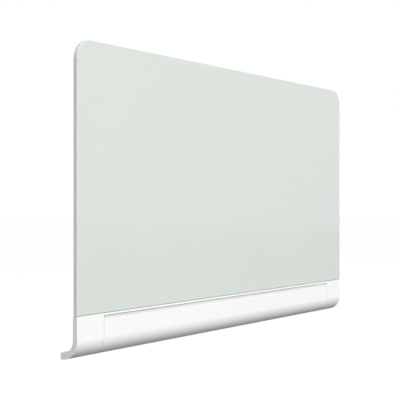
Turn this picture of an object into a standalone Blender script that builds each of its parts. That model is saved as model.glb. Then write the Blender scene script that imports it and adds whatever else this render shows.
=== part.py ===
"""Wall-hung glass marker board with a flip-down accessory tray along its bottom edge.

Frame: metres, +X to the right as seen from the front, +Z up, the front faces -Y and the wall is the plane
y = 0. The origin is the middle of the wall rail's back face.

Sections are drawn in the YZ plane with two numbers: depth, measured back from the front plane of the board,
and drop, measured down from the seam between the glass and the tray.
"""
import math

import bmesh
import bpy
from mathutils import Vector

# Driving dimensions
WIDTH = 1.270
HEIGHT = 0.7112
BOARD_DEPTH = 0.0485          # front of the glass to the wall
TRAY_HEIGHT = 0.0973          # top of the tray, the seam, to the bottom
RAIL_BELOW_TOP = 0.110        # top of the glass to the middle of the wall rail
GAP = 0.0003                  # clearance between touching pieces

FRONT_Y = -BOARD_DEPTH
TOP_Z = RAIL_BELOW_TOP
SEAM_Z = TOP_Z - (HEIGHT - TRAY_HEIGHT)
HALF_WIDTH = WIDTH / 2
SIDES = {"left": -1, "right": 1}
FORWARD = Vector((0, -1, 0))
BACKWARD = Vector((0, 1, 0))
DOWN = Vector((0, 0, -1))
ALONG = Vector((1, 0, 0))

# Board: depths of the layers behind the front plane
GLASS_THICKNESS = 0.004
GLASS_ABOVE_SEAM = 0.0015
GLASS_ARRIS = 0.0008
CORNER_RADIUS = 0.046
CORNER_STEPS = 14
STEEL_FRONT = GLASS_THICKNESS + GAP
STEEL_THICKNESS = 0.0007
CORE_FRONT = STEEL_FRONT + STEEL_THICKNESS + GAP
CORE_BACK = 0.0100
CORE_ABOVE_SEAM = 0.010
BOARD_BACK = 0.0103
FRAME_WIDTH = 0.008
BEHIND_BOARD = BOARD_BACK + GAP

# Hanging rails: heights are above the middle of the wall rail
RAIL_HALF_LENGTH = 0.500
RAIL_HALF_HEIGHT = 0.022
RAIL_WALL = 0.002
UPSTAND_DEPTH = 0.034         # depth of the wall rail's upstand
SHELF_HEIGHT = 0.008
HOOK_TIP_HEIGHT = 0.0105
RAIL_SCREW_HEIGHT = -0.010
HANGER_SCREW_X = (-0.400, -0.133, 0.133, 0.400)
WALL_SCREW_X = (-0.460, -0.230, 0.230, 0.460)
WALL_HOLE_RADIUS = 0.0025

# J-shaped section of the tray's fixed ends
OUTER_RADIUS = 0.043
OUTER_CENTRE = (OUTER_RADIUS, TRAY_HEIGHT - OUTER_RADIUS)
FOOT_HEIGHT = 0.0155
LEG_THICKNESS = 0.0121
INNER_RADIUS = 0.032
INNER_CENTRE = (LEG_THICKNESS + INNER_RADIUS, 0.0518)
COVER_LENGTH = 0.091
COVER_WALL = 0.0024
COVER_EDGE = 0.0006
ARC_STEPS = 18

# Door
DOOR_SIDE_GAP = 0.0008
DOOR_HALF_LENGTH = HALF_WIDTH - COVER_LENGTH - DOOR_SIDE_GAP
DOOR_TOP = 0.0063
DOOR_WALL = 0.0024
FLARE_RADIUS = 0.018          # the skin's top edge flares out on this radius, as a finger pull
FLARE_CENTRE = (-FLARE_RADIUS, 0.0140)
FLARE_STEPS = 5
FLANGE_DROP = 0.0081
FLANGE_DEPTH = (0.006, 0.014)
HINGE_DEPTH = 0.033
BEAD_RADIUS = 0.00645         # round bead along the hinged edge
END_PLATE_THICKNESS = 0.0024
END_PLATE_TOP = 0.0175
END_PLATE_BACK = 0.040
END_PLATE_CORNER = 0.012
MAT_THICKNESS = 0.0015
MAT_START_DEG = 186.0
MAT_END_DEPTH = 0.024
MAT_END_GAP = 0.001
STRIKE_HALF_WIDTH = 0.018

# Rails of the tray
LIP_DROP = 0.0050
LIP_WALL = 0.0024
LIP_BACK = 0.0437
LIP_FLANGE = 0.002
LIP_FLANGE_DROP = 0.016
WEB_FRONT = 0.044
WEB_BACK = 0.046
FOOT_SLOPE = (0.070, 0.0745)   # drops where the foot leaves the web and where it reaches the wall
FOOT_SHELF = ((0.0412, 0.0868), (0.044, 0.0840))
BEAD_CLEARANCE = 0.00045
FOOT_NOSE_DEG = -58.0
FOOT_TOP_DEG = 10.0
TRAY_RAIL_HALF = HALF_WIDTH - COVER_LENGTH - GAP
TRAY_WALL_SCREW_DROP = 0.030
RAIL_SCREW_X = (-0.500, 0.0, 0.500)
RAIL_SCREW_DROP = 0.0105

# Catches, bumpers and the bars that line up the end covers
CATCH_X = 0.400
CATCH_HALF_WIDTH = 0.020
CATCH_DEPTH = (0.006, 0.014)
CATCH_ABOVE_STRIKE = 0.0005
CATCH_EDGE = 0.0005
BUMPER_X = 0.350
BUMPER_HALF_WIDTH = 0.012
BUMPER_DROP = (0.018, 0.042)
BUMPER_EDGE = 0.0004
JOINER_X = (0.500, 0.600)
JOINER_SLOT_END = 0.560
JOINER_DEPTH = (0.0420, 0.0457)
JOINER_DROP = (0.0876, 0.0936)

# Brackets and straps behind the board
BRACKET_X = {"left": -0.380, "centre": 0.0, "right": 0.380}
BRACKET_HALF_WIDTH = 0.025
BRACKET_WALL = 0.002
BRACKET_RISE = 0.052
BRACKET_REACH = 0.040
BRACKET_SCREW_OFFSETS = (-0.015, 0.015)
BRACKET_SCREW_RISE = 0.036
SHELF_SCREW_DEPTH = 0.027
STRAP_X = 0.590
STRAP_HALF_WIDTH = 0.012
STRAP_WALL = 0.002
STRAP_RISE = 0.045
STRAP_STEP_RISE = 0.003
STRAP_FALL = 0.040
STRAP_SCREW_RISE = 0.026

# Screws: pan heads with a hexagonal socket
SCREW_SIDES = 18
SCREW_HEAD_RADIUS = 0.0032
SCREW_HEAD_HEIGHT = 0.0020
SCREW_SHANK_RADIUS = 0.0015
SCREW_POINT = 0.001
SCREW_HOLE_RADIUS = 0.0018
SCREW_SOCKET_RADIUS = 0.0013
BOARD_SCREW_LENGTH = 0.0068
STRAP_SCREW_LENGTH = 0.0086
COVER_SCREW_LENGTH = 0.0055
SHELF_SCREW_LENGTH = 0.0062
RAIL_SCREW_LENGTH = 0.0048
CORE_HOLE_LENGTH = 0.022
PLATE_HOLE_LENGTH = 0.012
WEB_HOLE_LENGTH = 0.016
FLANGE_HOLE_LENGTH = 0.008

# Hinge
PIN_RADIUS = 0.0020
PIN_LENGTH = 0.042
BUSH_RADIUS = 0.0040
BUSH_LENGTH = 0.012
BUSH_SIDES = 24
HINGE_BLOCK_DEPTH = (0.026, 0.039)
HINGE_BLOCK_GAP = 0.002
HINGE_BLOCK_LENGTH = 0.030


def at(depth, drop):
    """Point (y, z) of the YZ plane from a depth and a drop."""
    return (FRONT_Y + depth, SEAM_Z - drop)


def arc(centre, radius, start_deg, end_deg, steps):
    """Points (depth, drop) on an arc; 180 degrees is the front and 270 degrees the bottom."""
    points = []
    for i in range(steps + 1):
        angle = math.radians(start_deg + (end_deg - start_deg) * i / steps)
        points.append((centre[0] + radius * math.cos(angle), centre[1] - radius * math.sin(angle)))
    return points


def angle_at_depth(centre, radius, depth):
    """Angle, between 180 and 360 degrees, at which a circle's lower half reaches a depth."""
    return 360 - math.degrees(math.acos((depth - centre[0]) / radius))


def angle_at_drop(centre, radius, drop):
    """Angle, between 180 and 270 degrees, at which a circle's lower front quarter reaches a drop."""
    return 180 + math.degrees(math.asin((drop - centre[1]) / radius))


def flare_angle(radius, drop):
    """Angle about the centre of the door's flare at which a circle reaches a drop above it."""
    return math.degrees(math.asin((FLARE_CENTRE[1] - drop) / radius))


def hinge_point():
    """The hinge axis: centre of the bead whose radius touches the outer arc from inside."""
    reach = OUTER_RADIUS - BEAD_RADIUS
    along = OUTER_CENTRE[0] - HINGE_DEPTH
    return (HINGE_DEPTH, OUTER_CENTRE[1] + math.sqrt(reach ** 2 - along ** 2))


def circle_crossing(radius, bead):
    """Angle about the hinge at which a circle of the bead's radius meets an arc about OUTER_CENTRE."""
    hinge = hinge_point()
    across = OUTER_CENTRE[0] - hinge[0]
    down = hinge[1] - OUTER_CENTRE[1]
    distance = math.hypot(across, down)
    towards = math.degrees(math.atan2(down, across))
    turn = math.acos((distance ** 2 + bead ** 2 - radius ** 2) / (2 * distance * bead))
    return towards + math.degrees(turn)


def angle_of(centre, point):
    """Angle of a (depth, drop) point about a centre, between 0 and 360 degrees."""
    return math.degrees(math.atan2(centre[1] - point[1], point[0] - centre[0])) % 360


HINGE = hinge_point()
HINGE_WORLD = Vector((0, *at(*HINGE)))


def make_material(name, colour, roughness, metallic=0.0):
    material = bpy.data.materials.new(name)
    material.use_nodes = True
    shader = material.node_tree.nodes["Principled BSDF"]
    shader.inputs["Base Color"].default_value = (*colour, 1.0)
    shader.inputs["Roughness"].default_value = roughness
    shader.inputs["Metallic"].default_value = metallic
    material.diffuse_color = (*colour, 1.0)
    return material


def add_object(name, bm, material, origin=Vector((0, 0, 0)), parent=None):
    """Turn a bmesh in world coordinates into an object with its origin at a chosen point."""
    bmesh.ops.translate(bm, verts=bm.verts, vec=-origin)
    bmesh.ops.recalc_face_normals(bm, faces=bm.faces)
    mesh = bpy.data.meshes.new(name)
    bm.to_mesh(mesh)
    bm.free()
    mesh.shade_smooth()
    mesh.set_sharp_from_angle(angle=math.radians(30))
    mesh.materials.append(material)
    obj = bpy.data.objects.new(name, mesh)
    bpy.context.collection.objects.link(obj)
    obj.location = origin
    if parent is not None:
        obj.parent = parent
        obj.location = origin - parent.location
    return obj


def extruded(corners, offset):
    """Closed bmesh from a flat polygon's 3-D corners, extruded by an offset vector."""
    bm = bmesh.new()
    face = bm.faces.new([bm.verts.new(corner) for corner in corners])
    result = bmesh.ops.extrude_face_region(bm, geom=[face])
    moved = [item for item in result["geom"] if isinstance(item, bmesh.types.BMVert)]
    bmesh.ops.translate(bm, verts=moved, vec=offset)
    return bm


def section_bar(name, section, x0, x1, material, **placing):
    """Bar with a section of (depth, drop) points, running along X."""
    corners = [(x0, *at(*point)) for point in section]
    return add_object(name, extruded(corners, (x1 - x0, 0, 0)), material, **placing)


def flat_sheet(name, outline, depth0, depth1, material):
    """Sheet with an outline of (x, z) points, between two depths."""
    corners = [(x, FRONT_Y + depth0, z) for x, z in outline]
    return add_object(name, extruded(corners, (0, depth1 - depth0, 0)), material)


def block(name, x, depth, drop, material, **placing):
    """Rectangular block between pairs of x, depth and drop."""
    section = [(depth[0], drop[0]), (depth[1], drop[0]), (depth[1], drop[1]), (depth[0], drop[1])]
    return section_bar(name, section, x[0], x[1], material, **placing)


def ring_points(centre, axis, radius, sides, hexagonal=False):
    """Points around an axis; a hexagonal ring keeps its corners on every third point of 18."""
    side = axis.orthogonal().normalized()
    up = axis.cross(side)
    points = []
    for i in range(sides):
        angle = 2 * math.pi * i / sides
        reach = radius
        if hexagonal:
            from_flat = (angle + math.pi / 6) % (math.pi / 3) - math.pi / 6
            reach = radius * math.cos(math.pi / 6) / math.cos(from_flat)
        points.append(centre + reach * (math.cos(angle) * side + math.sin(angle) * up))
    return points


def turned(rings, centre, axis, sides):
    """Closed bmesh turned about an axis from (radius, height, hexagonal) rings, first to last."""
    bm = bmesh.new()
    loops = []
    for radius, height, hexagonal in rings:
        points = ring_points(centre + axis * height, axis, radius, sides, hexagonal)
        loops.append([bm.verts.new(point) for point in points])
    for lower, upper in zip(loops, loops[1:]):
        for i in range(sides):
            j = (i + 1) % sides
            bm.faces.new((lower[i], lower[j], upper[j], upper[i]))
    bm.faces.new(loops[0])
    bm.faces.new(loops[-1])
    return bm


def rod(name, start, end, radius, sides, material, **placing):
    """Round rod between two points."""
    axis = (end - start).normalized()
    rings = [(radius, 0.0, False), (radius, (end - start).length, False)]
    return add_object(name, turned(rings, start, axis, sides), material, **placing)


def tube(name, start, end, radius, bore, sides, material, **placing):
    """Round tube between two points."""
    axis = (end - start).normalized()
    length = (end - start).length
    bm = turned([(radius, 0.0, False), (radius, length, False)], start, axis, sides)
    bmesh.ops.delete(bm, geom=[face for face in bm.faces if len(face.verts) == sides], context="FACES_ONLY")
    outer = list(bm.verts)
    inner = []
    for height in (0.0, length):
        inner.extend(bm.verts.new(p) for p in ring_points(start + axis * height, axis, bore, sides))
    for i in range(sides):
        j = (i + 1) % sides
        bm.faces.new((inner[i], inner[j], inner[sides + j], inner[sides + i]))
        bm.faces.new((outer[i], outer[j], inner[j], inner[i]))
        bm.faces.new((outer[sides + i], outer[sides + j], inner[sides + j], inner[sides + i]))
    return add_object(name, bm, material, **placing)


def screw(name, seat, direction, length, material):
    """Pan-head screw: seat is the point under its head, direction the way its shank points."""
    back = -direction
    rings = [
        (SCREW_SHANK_RADIUS * 0.5, -length, False),
        (SCREW_SHANK_RADIUS, SCREW_POINT - length, False),
        (SCREW_SHANK_RADIUS, 0.0, False),
        (SCREW_HEAD_RADIUS, 0.0, False),
        (SCREW_HEAD_RADIUS, SCREW_HEAD_HEIGHT * 0.5, False),
        (SCREW_HEAD_RADIUS * 0.75, SCREW_HEAD_HEIGHT, False),
        (SCREW_SOCKET_RADIUS, SCREW_HEAD_HEIGHT, True),
        (SCREW_SOCKET_RADIUS, SCREW_HEAD_HEIGHT * 0.4, True),
    ]
    return add_object(name, turned(rings, seat, back, SCREW_SIDES), material, origin=seat)


def cut(target, cutter):
    """Cut an object with a hidden cutter, by a Boolean modifier."""
    cutter.hide_render = True
    cutter.display_type = "WIRE"
    modifier = target.modifiers.new("cut_" + cutter.name, "BOOLEAN")
    modifier.operation = "DIFFERENCE"
    modifier.solver = "EXACT"
    modifier.object = cutter


def hole_cutter(name, centres, direction, radius, length, material):
    """One cutter made of equal rods, centred on each of the points."""
    cutter = bmesh.new()
    for centre in centres:
        start = centre - direction * (length / 2)
        rings = [(radius, 0.0, False), (radius, length, False)]
        piece = turned(rings, start, direction, SCREW_SIDES)
        mesh = bpy.data.meshes.new(name + "_piece")
        piece.to_mesh(mesh)
        piece.free()
        cutter.from_mesh(mesh)
        bpy.data.meshes.remove(mesh)
    return add_object(name, cutter, material)


def drill(target, seats, direction, length, material, radius=SCREW_HOLE_RADIUS):
    """Round holes through an object, one at each seat."""
    cut(target, hole_cutter(target.name + "_holes", seats, direction, radius, length, material))


def bevel(obj, width, angle_deg=60.0):
    """One flat chamfer on the sharp edges."""
    modifier = obj.modifiers.new("edge", "BEVEL")
    modifier.width = width
    modifier.segments = 1
    modifier.limit_method = "ANGLE"
    modifier.angle_limit = math.radians(angle_deg)


def board_outline(inset, bottom_z):
    """(x, z) outline with two rounded top corners, inset from the glass edge."""
    half = HALF_WIDTH - inset
    radius = CORNER_RADIUS - inset
    centre_x = HALF_WIDTH - CORNER_RADIUS
    centre_z = TOP_Z - CORNER_RADIUS
    points = [(-half, bottom_z), (half, bottom_z)]
    for middle, start in ((centre_x, 0.0), (-centre_x, 90.0)):
        for i in range(CORNER_STEPS + 1):
            angle = math.radians(start + 90.0 * i / CORNER_STEPS)
            points.append((middle + radius * math.cos(angle), centre_z + radius * math.sin(angle)))
    return points


def corner_outline(side):
    """(x, z) outline of a quarter ring at a top corner."""
    centre_x = side * (HALF_WIDTH - CORNER_RADIUS)
    centre_z = TOP_Z - CORNER_RADIUS
    points = []
    for radius, order in ((CORNER_RADIUS, 1), (CORNER_RADIUS - FRAME_WIDTH, -1)):
        for i in range(CORNER_STEPS + 1)[::order]:
            angle = math.radians(90.0 * i / CORNER_STEPS)
            points.append((centre_x + side * radius * math.cos(angle), centre_z + radius * math.sin(angle)))
    return points


def j_section(inset):
    """J-shaped section of the fixed ends, inset all round."""
    outer = OUTER_RADIUS - inset
    inner = INNER_RADIUS + inset
    back = BOARD_DEPTH - inset
    points = [(inset, inset)]
    points += arc(OUTER_CENTRE, outer, 180.0, 270.0, ARC_STEPS)
    points.append((back, TRAY_HEIGHT - inset))
    foot_top = TRAY_HEIGHT - FOOT_HEIGHT + inset
    points.append((back, foot_top))
    points += arc(INNER_CENTRE, inner, angle_at_drop(INNER_CENTRE, inner, foot_top), 180.0, ARC_STEPS)
    points.append((LEG_THICKNESS - inset, inset))
    return points


def door_section():
    """Door skin that flares out at the top as a pull, a flange behind it and the hinge bead below."""
    flange_bottom = FLANGE_DROP + DOOR_WALL
    flare_back = FLARE_RADIUS + DOOR_WALL
    inner = OUTER_RADIUS - DOOR_WALL
    crossing = circle_crossing(inner, BEAD_RADIUS)
    crossing_point = arc(HINGE, BEAD_RADIUS, crossing, crossing, 1)[0]
    tangent = angle_of(OUTER_CENTRE, HINGE)
    points = [
        (FLANGE_DEPTH[0], FLANGE_DROP),
        (FLANGE_DEPTH[1], FLANGE_DROP),
        (FLANGE_DEPTH[1], flange_bottom),
    ]
    points += arc(FLARE_CENTRE, flare_back, flare_angle(flare_back, flange_bottom), 0.0, FLARE_STEPS)
    points += arc(OUTER_CENTRE, inner, 180.0, angle_of(OUTER_CENTRE, crossing_point), ARC_STEPS)
    points += arc(HINGE, BEAD_RADIUS, crossing, tangent - 360.0, 2 * ARC_STEPS)[1:]
    points += arc(OUTER_CENTRE, OUTER_RADIUS, tangent, 180.0, ARC_STEPS)[1:]
    points += arc(FLARE_CENTRE, FLARE_RADIUS, 0.0, flare_angle(FLARE_RADIUS, DOOR_TOP), FLARE_STEPS)
    points.append((FLANGE_DEPTH[0], DOOR_TOP))
    return points


def end_plate_section():
    """Plate that closes an end of the trough, just inside the door's skin."""
    inner = OUTER_RADIUS - DOOR_WALL - GAP
    bead = BEAD_RADIUS + GAP
    crossing = circle_crossing(inner, bead)
    crossing_point = arc(HINGE, bead, crossing, crossing, 1)[0]
    front = DOOR_WALL + GAP
    points = [(front, END_PLATE_TOP)]
    points += arc(OUTER_CENTRE, inner, 180.0, angle_of(OUTER_CENTRE, crossing_point), ARC_STEPS)
    points += arc(HINGE, bead, crossing, 45.0, ARC_STEPS)[1:]
    points.append((END_PLATE_BACK, HINGE[1] - BUSH_RADIUS * 2))
    corner = (END_PLATE_BACK - END_PLATE_CORNER, END_PLATE_TOP + END_PLATE_CORNER)
    points += arc(corner, END_PLATE_CORNER, 0.0, 90.0, 6)
    return points


def mat_section():
    """Liner that follows the trough's curve."""
    outer = OUTER_RADIUS - DOOR_WALL - GAP
    end = angle_at_depth(OUTER_CENTRE, outer, MAT_END_DEPTH)
    points = arc(OUTER_CENTRE, outer, MAT_START_DEG, end, ARC_STEPS)
    points += arc(OUTER_CENTRE, outer - MAT_THICKNESS, end, MAT_START_DEG, ARC_STEPS)
    return points


def lip_section():
    """Front lip, shelf behind it and a flange that turns down in front of the back rail."""
    return [
        (0.0, 0.0),
        (LIP_BACK, 0.0),
        (LIP_BACK, LIP_FLANGE_DROP),
        (LIP_BACK - LIP_FLANGE, LIP_FLANGE_DROP),
        (LIP_BACK - LIP_FLANGE, LIP_WALL),
        (LIP_WALL, LIP_WALL),
        (LIP_WALL, LIP_DROP),
        (0.0, LIP_DROP),
    ]


def back_section():
    """Upright web and, below it, a foot that reaches the wall and wraps behind the hinge bead."""
    reach = BEAD_RADIUS + BEAD_CLEARANCE
    nose = arc(HINGE, reach, FOOT_NOSE_DEG, FOOT_TOP_DEG, ARC_STEPS)
    under = angle_of(OUTER_CENTRE, nose[0])
    points = [(WEB_BACK, 0.0), (WEB_BACK, FOOT_SLOPE[0]), (BOARD_DEPTH, FOOT_SLOPE[1])]
    points.append((BOARD_DEPTH, TRAY_HEIGHT))
    points += arc(OUTER_CENTRE, OUTER_RADIUS, 270.0, under, 4)
    points += nose
    points += [*FOOT_SHELF, (WEB_FRONT, 0.0)]
    return points


def hinge_block_section():
    """Block that fills the hollow foot of an end cover around the hinge pin."""
    outer = OUTER_RADIUS - COVER_WALL - GAP
    inner = INNER_RADIUS + COVER_WALL + GAP
    foot_top = TRAY_HEIGHT - FOOT_HEIGHT + COVER_WALL + GAP
    front, back = HINGE_BLOCK_DEPTH
    points = arc(OUTER_CENTRE, outer, angle_at_depth(OUTER_CENTRE, outer, front),
                 angle_at_depth(OUTER_CENTRE, outer, back), 6)
    points.append((back, foot_top))
    points += arc(INNER_CENTRE, inner, angle_at_drop(INNER_CENTRE, inner, foot_top),
                  angle_at_depth(INNER_CENTRE, inner, front), 6)
    return points


def build_board(glass, steel, core, frame):
    glass_outline = board_outline(0.0, SEAM_Z + GLASS_ABOVE_SEAM)
    panel = flat_sheet("glass_panel", glass_outline, 0.0, GLASS_THICKNESS, glass)
    bevel(panel, GLASS_ARRIS)
    inset = FRAME_WIDTH + GAP
    inner_bottom = SEAM_Z + CORE_ABOVE_SEAM
    sheet_back = STEEL_FRONT + STEEL_THICKNESS
    flat_sheet("steel_backing_sheet", board_outline(inset, inner_bottom), STEEL_FRONT, sheet_back, steel)
    core_board = flat_sheet("core_board", board_outline(inset, inner_bottom), CORE_FRONT, CORE_BACK, core)
    depth = (STEEL_FRONT, BOARD_BACK)
    corner_drop = SEAM_Z - (TOP_Z - CORNER_RADIUS) + GAP
    for label, side in SIDES.items():
        x = sorted((side * HALF_WIDTH, side * (HALF_WIDTH - FRAME_WIDTH)))
        block("frame_" + label, x, depth, (corner_drop, -GAP), frame)
        flat_sheet("frame_corner_" + label, corner_outline(side), *depth, frame)
    top_half = HALF_WIDTH - CORNER_RADIUS - GAP
    top_drop = SEAM_Z - TOP_Z
    block("frame_top", (-top_half, top_half), depth, (top_drop, top_drop + FRAME_WIDTH), frame)
    bottom_half = HALF_WIDTH - FRAME_WIDTH - GAP
    block("frame_bottom", (-bottom_half, bottom_half), depth, (GAP - CORE_ABOVE_SEAM + GAP, -GAP), frame)
    return core_board


def build_hanging(core_board, aluminium, steel):
    """Hooked rail on the board, Z-shaped rail on the wall, and the screws between rail and board."""
    leg_back = BEHIND_BOARD + RAIL_WALL
    hook_front = UPSTAND_DEPTH + RAIL_WALL + GAP
    hook_back = hook_front + RAIL_WALL
    arm_bottom = RAIL_HALF_HEIGHT + GAP
    arm_top = arm_bottom + RAIL_WALL
    hook = [
        (BEHIND_BOARD, arm_top),
        (hook_back, arm_top),
        (hook_back, HOOK_TIP_HEIGHT),
        (hook_front, HOOK_TIP_HEIGHT),
        (hook_front, arm_bottom),
        (leg_back, arm_bottom),
        (leg_back, -RAIL_HALF_HEIGHT),
        (BEHIND_BOARD, -RAIL_HALF_HEIGHT),
    ]
    hanger_section = [(depth, SEAM_Z - height) for depth, height in hook]
    hanger = section_bar("hanger_rail", hanger_section, -RAIL_HALF_LENGTH, RAIL_HALF_LENGTH, aluminium)
    plate_front = BOARD_DEPTH - RAIL_WALL
    upstand_back = UPSTAND_DEPTH + RAIL_WALL
    rail = [
        (BOARD_DEPTH, RAIL_HALF_HEIGHT),
        (BOARD_DEPTH, -RAIL_HALF_HEIGHT),
        (plate_front, -RAIL_HALF_HEIGHT),
        (plate_front, SHELF_HEIGHT),
        (UPSTAND_DEPTH, SHELF_HEIGHT),
        (UPSTAND_DEPTH, RAIL_HALF_HEIGHT),
        (upstand_back, RAIL_HALF_HEIGHT),
        (upstand_back, SHELF_HEIGHT + RAIL_WALL),
        (plate_front, SHELF_HEIGHT + RAIL_WALL),
        (plate_front, RAIL_HALF_HEIGHT),
    ]
    rail_section = [(depth, SEAM_Z - height) for depth, height in rail]
    wall_rail = section_bar("wall_rail", rail_section, -RAIL_HALF_LENGTH, RAIL_HALF_LENGTH, aluminium)
    wall_holes = [Vector((x, -RAIL_WALL / 2, RAIL_SCREW_HEIGHT)) for x in WALL_SCREW_X]
    drill(wall_rail, wall_holes, FORWARD, PLATE_HOLE_LENGTH, steel, WALL_HOLE_RADIUS)
    seats = [Vector((x, FRONT_Y + leg_back + GAP, RAIL_SCREW_HEIGHT)) for x in HANGER_SCREW_X]
    drill(hanger, seats, FORWARD, PLATE_HOLE_LENGTH, steel)
    drill(core_board, seats, FORWARD, CORE_HOLE_LENGTH, steel)
    for number, seat in enumerate(seats, start=1):
        screw(f"hanger_screw_{number}", seat, FORWARD, BOARD_SCREW_LENGTH, steel)


def build_brackets(core_board, lip_rail, steel):
    """Three angle brackets that carry the tray's lip rail from the back of the board."""
    leg_back = BEHIND_BOARD + BRACKET_WALL
    shelf_top = -GAP - BRACKET_WALL
    section = [
        (BEHIND_BOARD, -BRACKET_RISE),
        (leg_back, -BRACKET_RISE),
        (leg_back, shelf_top),
        (BRACKET_REACH, shelf_top),
        (BRACKET_REACH, -GAP),
        (BEHIND_BOARD, -GAP),
    ]
    board_seats = []
    shelf_seats = []
    for label, x in BRACKET_X.items():
        ends = (x - BRACKET_HALF_WIDTH, x + BRACKET_HALF_WIDTH)
        bracket = section_bar("tray_bracket_" + label, section, *ends, steel)
        leg_back_y, seat_z = at(leg_back + GAP, -BRACKET_SCREW_RISE)
        seats = [Vector((x + offset, leg_back_y, seat_z)) for offset in BRACKET_SCREW_OFFSETS]
        shelf_seat = Vector((x, *at(SHELF_SCREW_DEPTH, shelf_top - GAP)))
        drill(bracket, seats, FORWARD, PLATE_HOLE_LENGTH, steel)
        drill(bracket, [shelf_seat], DOWN, PLATE_HOLE_LENGTH, steel)
        board_seats += seats
        shelf_seats.append(shelf_seat)
    drill(core_board, board_seats, FORWARD, CORE_HOLE_LENGTH, steel)
    drill(lip_rail, shelf_seats, DOWN, PLATE_HOLE_LENGTH, steel)
    for number, seat in enumerate(board_seats, start=1):
        screw(f"bracket_screw_{number}", seat, FORWARD, BOARD_SCREW_LENGTH, steel)
    for number, seat in enumerate(shelf_seats, start=1):
        screw(f"shelf_screw_{number}", seat, DOWN, SHELF_SCREW_LENGTH, steel)


def build_end_covers(core_board, white, steel):
    """Hollow J-shaped covers, open towards the door, and the straps that hold them to the board."""
    strap_front = LEG_THICKNESS + GAP
    strap_back = strap_front + STRAP_WALL
    strap = [
        (BEHIND_BOARD, -STRAP_RISE),
        (strap_back, -STRAP_RISE),
        (strap_back, STRAP_FALL),
        (strap_front, STRAP_FALL),
        (strap_front, -STRAP_STEP_RISE),
        (BEHIND_BOARD, -STRAP_STEP_RISE),
    ]
    board_seats = []
    for label, side in SIDES.items():
        outer_end = side * HALF_WIDTH
        inner_end = side * (HALF_WIDTH - COVER_LENGTH)
        hollow_ends = (outer_end - side * COVER_WALL, inner_end - side * COVER_WALL)
        cover = section_bar("end_cover_" + label, j_section(0.0), outer_end, inner_end, white)
        bevel(cover, COVER_EDGE)
        cut(cover, section_bar("hollow_" + label, j_section(COVER_WALL), *hollow_ends, white))
        x = side * STRAP_X
        strap_ends = (x - STRAP_HALF_WIDTH, x + STRAP_HALF_WIDTH)
        plate = section_bar("end_strap_" + label, strap, *strap_ends, steel)
        board_seat = Vector((x, *at(strap_back + GAP, -STRAP_SCREW_RISE)))
        cover_seat = Vector((x, *at(strap_back + GAP, STRAP_SCREW_RISE)))
        drill(plate, [board_seat, cover_seat], FORWARD, PLATE_HOLE_LENGTH, steel)
        drill(cover, [cover_seat], FORWARD, PLATE_HOLE_LENGTH, steel)
        board_seats.append(board_seat)
        screw("strap_screw_" + label, board_seat, FORWARD, STRAP_SCREW_LENGTH, steel)
        screw("cover_screw_" + label, cover_seat, FORWARD, COVER_SCREW_LENGTH, steel)
    drill(core_board, board_seats, FORWARD, CORE_HOLE_LENGTH, steel)


def build_rails(white, steel):
    """Lip rail on top of the tray and back rail behind it, with the screws between them."""
    lip_rail = section_bar("lip_rail", lip_section(), -TRAY_RAIL_HALF, TRAY_RAIL_HALF, white)
    back_rail = section_bar("back_rail", back_section(), -TRAY_RAIL_HALF, TRAY_RAIL_HALF, white)
    wall_holes = [Vector((x, *at(WEB_FRONT, TRAY_WALL_SCREW_DROP))) for x in WALL_SCREW_X]
    drill(back_rail, wall_holes, BACKWARD, PLATE_HOLE_LENGTH, steel, WALL_HOLE_RADIUS)
    seats = [Vector((x, *at(LIP_BACK - LIP_FLANGE - GAP, RAIL_SCREW_DROP))) for x in RAIL_SCREW_X]
    drill(lip_rail, seats, BACKWARD, FLANGE_HOLE_LENGTH, steel)
    drill(back_rail, seats, BACKWARD, WEB_HOLE_LENGTH, steel)
    for number, seat in enumerate(seats, start=1):
        screw(f"rail_screw_{number}", seat, BACKWARD, RAIL_SCREW_LENGTH, steel)
    return lip_rail, back_rail


def build_tray_fittings(back_rail, steel, rubber, magnet):
    """Joiner bars at the rail's ends, magnetic catches under the lip rail and bumpers against the wall."""
    catch_drop = (LIP_WALL + GAP, DOOR_TOP - CATCH_ABOVE_STRIKE)
    bumper_depth = (WEB_BACK + GAP, BOARD_DEPTH)
    slot_depth = (JOINER_DEPTH[0] - GAP, JOINER_DEPTH[1] + GAP)
    slot_drop = (JOINER_DROP[0] - GAP, JOINER_DROP[1] + GAP)
    for label, side in SIDES.items():
        bar_x = sorted(side * x for x in JOINER_X)
        slot_x = sorted((side * (JOINER_X[0] - GAP), side * JOINER_SLOT_END))
        block("joiner_bar_" + label, bar_x, JOINER_DEPTH, JOINER_DROP, steel)
        cut(back_rail, block("joiner_slot_" + label, slot_x, slot_depth, slot_drop, steel))
        catch_x = (side * CATCH_X - CATCH_HALF_WIDTH, side * CATCH_X + CATCH_HALF_WIDTH)
        bevel(block("magnet_catch_" + label, catch_x, CATCH_DEPTH, catch_drop, magnet), CATCH_EDGE)
        bumper_x = (side * BUMPER_X - BUMPER_HALF_WIDTH, side * BUMPER_X + BUMPER_HALF_WIDTH)
        bevel(block("wall_bumper_" + label, bumper_x, bumper_depth, BUMPER_DROP, rubber), BUMPER_EDGE)


def along_hinge(x):
    """Point of the hinge axis at an x."""
    return HINGE_WORLD + Vector((x, 0, 0))


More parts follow.
